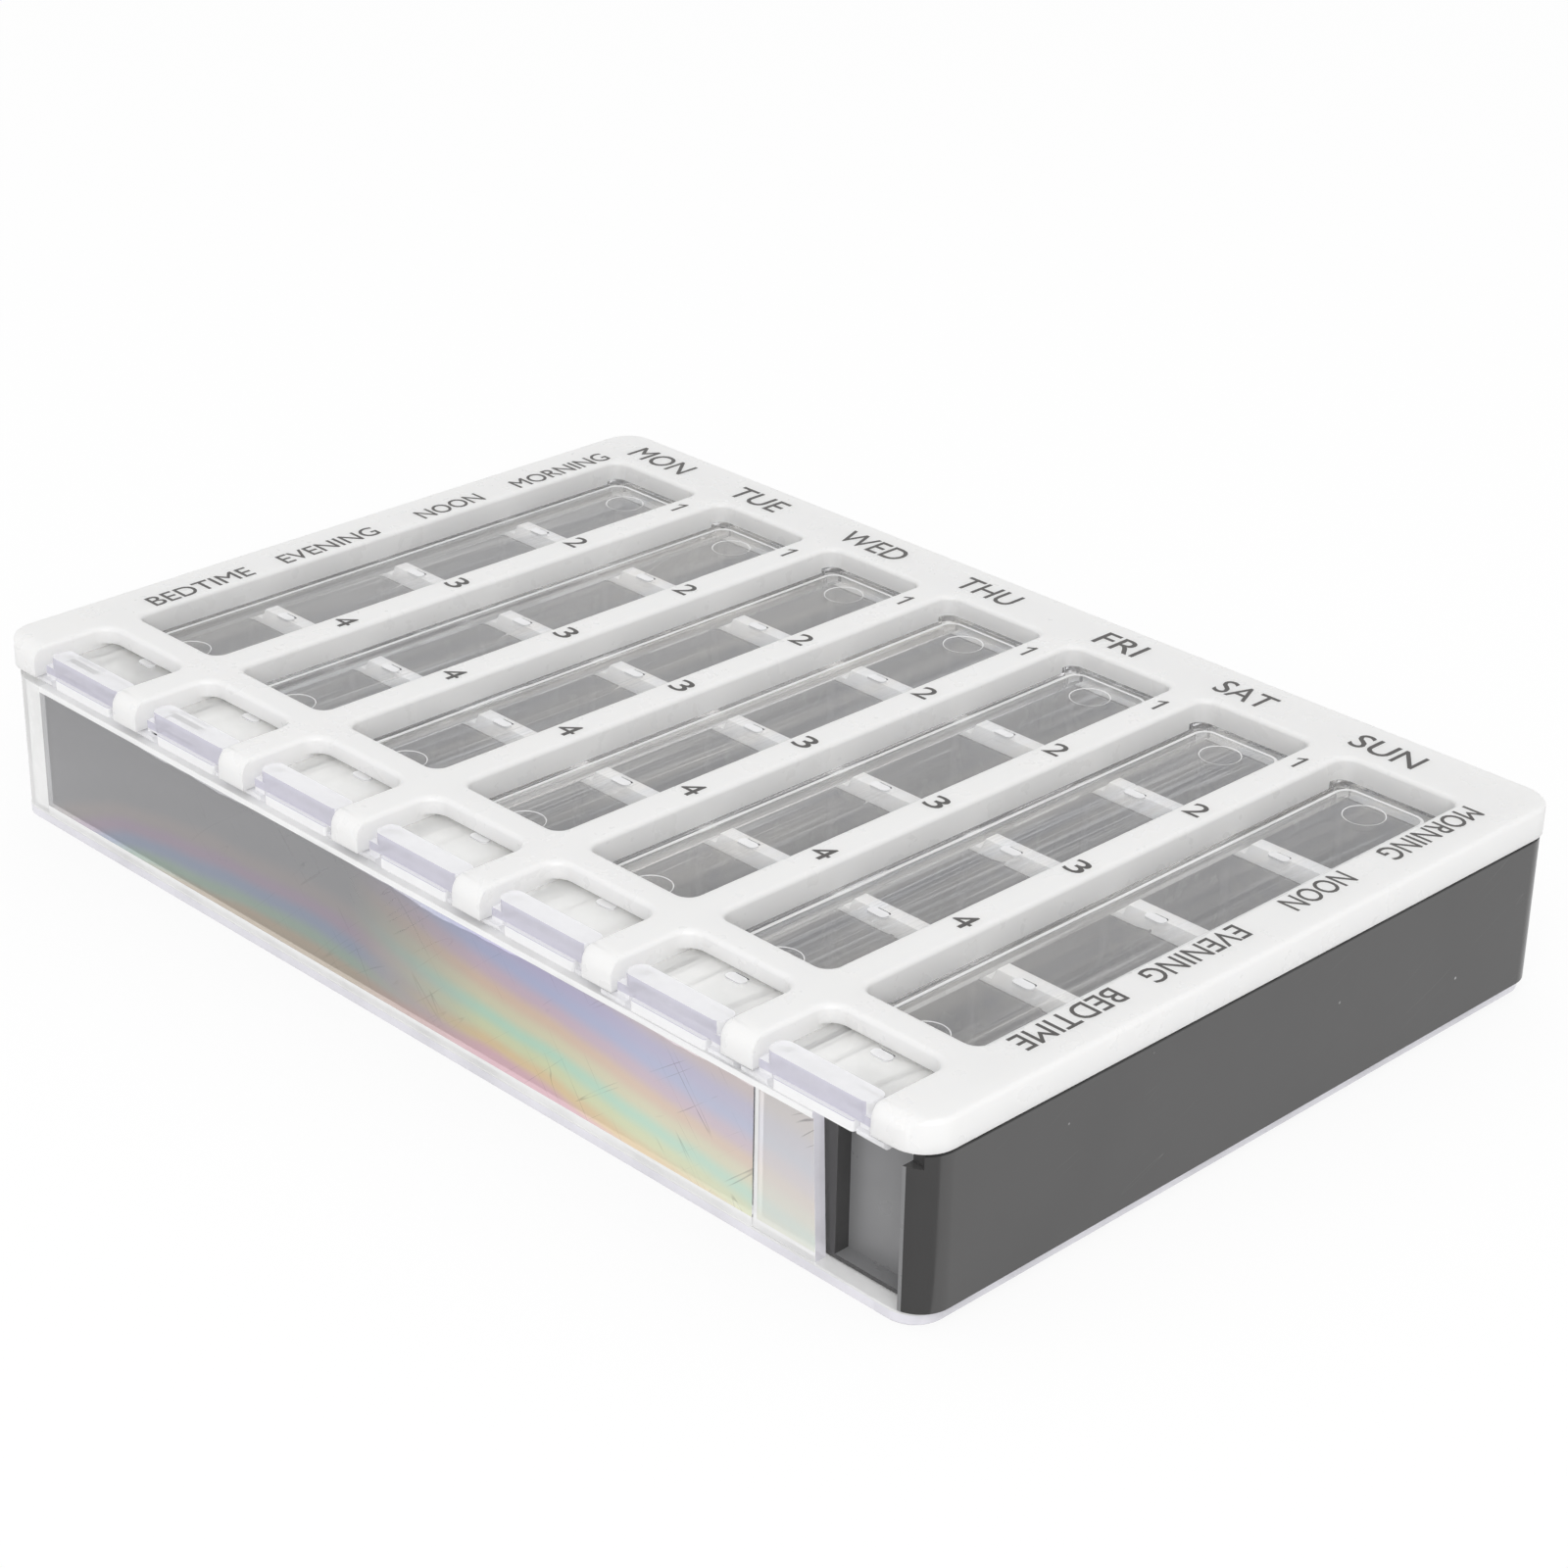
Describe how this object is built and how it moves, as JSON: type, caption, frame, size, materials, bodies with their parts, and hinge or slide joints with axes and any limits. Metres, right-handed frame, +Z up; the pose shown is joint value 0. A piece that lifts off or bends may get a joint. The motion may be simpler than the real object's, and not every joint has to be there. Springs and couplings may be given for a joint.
{
  "type": "weekly pill organizer",
  "caption": "Flat pill organizer with a white windowed top, clear sliding lids over dark wells, and a clear bottom cover that slides off sideways",
  "frame": {"origin": "middle of the underside, on the surface it rests on", "axes": "+X along the row of days from Monday to Sunday, +Y from the pull lips to the day names, +Z up"},
  "size_m": [0.2056, 0.1366, 0.0314],
  "materials": {
    "white_plastic": "satin white moulded plastic",
    "milk_plastic": "satin milk-white moulded plastic",
    "slate_plastic": "glossy dark grey moulded plastic",
    "slate_wells": "glossy dark grey moulded plastic",
    "clear_cover": "clear polystyrene with moulding stress colours",
    "clear_lid": "clear polystyrene"
  },
  "bodies": {
    "casing_body": {"top_frame": "white_plastic", "cell_grid": "milk_plastic", "casing": "slate_plastic", "casing_end": "slate_plastic", "wells_mon": "slate_wells", "wells_tue": "slate_wells", "wells_wed": "slate_wells", "wells_thu": "slate_wells", "wells_fri": "slate_wells", "wells_sat": "slate_wells", "wells_sun": "slate_wells"},
    "bottom_cover": {"bottom_cover": "clear_cover"},
    "lid_mon": {"lid_mon": "clear_lid"},
    "lid_tue": {"lid_tue": "clear_lid"},
    "lid_wed": {"lid_wed": "clear_lid"},
    "lid_thu": {"lid_thu": "clear_lid"},
    "lid_fri": {"lid_fri": "clear_lid"},
    "lid_sat": {"lid_sat": "clear_lid"},
    "lid_sun": {"lid_sun": "clear_lid"}
  },
  "joints": [
    {"name": "lid_mon_slide", "type": "slide", "parent": "casing_body", "child": "lid_mon", "axis": [0, -1, 0], "range_m": [0, 0.11]},
    {"name": "lid_tue_slide", "type": "slide", "parent": "casing_body", "child": "lid_tue", "axis": [0, -1, 0], "range_m": [0, 0.11]},
    {"name": "lid_wed_slide", "type": "slide", "parent": "casing_body", "child": "lid_wed", "axis": [0, -1, 0], "range_m": [0, 0.11]},
    {"name": "lid_thu_slide", "type": "slide", "parent": "casing_body", "child": "lid_thu", "axis": [0, -1, 0], "range_m": [0, 0.11]},
    {"name": "lid_fri_slide", "type": "slide", "parent": "casing_body", "child": "lid_fri", "axis": [0, -1, 0], "range_m": [0, 0.11]},
    {"name": "lid_sat_slide", "type": "slide", "parent": "casing_body", "child": "lid_sat", "axis": [0, -1, 0], "range_m": [-0.0011, 0.1089]},
    {"name": "lid_sun_slide", "type": "slide", "parent": "casing_body", "child": "lid_sun", "axis": [0, -1, 0], "range_m": [-0.0011, 0.1089]},
    {"name": "cover_slide", "type": "slide", "parent": "casing_body", "child": "bottom_cover", "axis": [-1, 0, 0], "range_m": [0, 0.1925]}
  ]
}
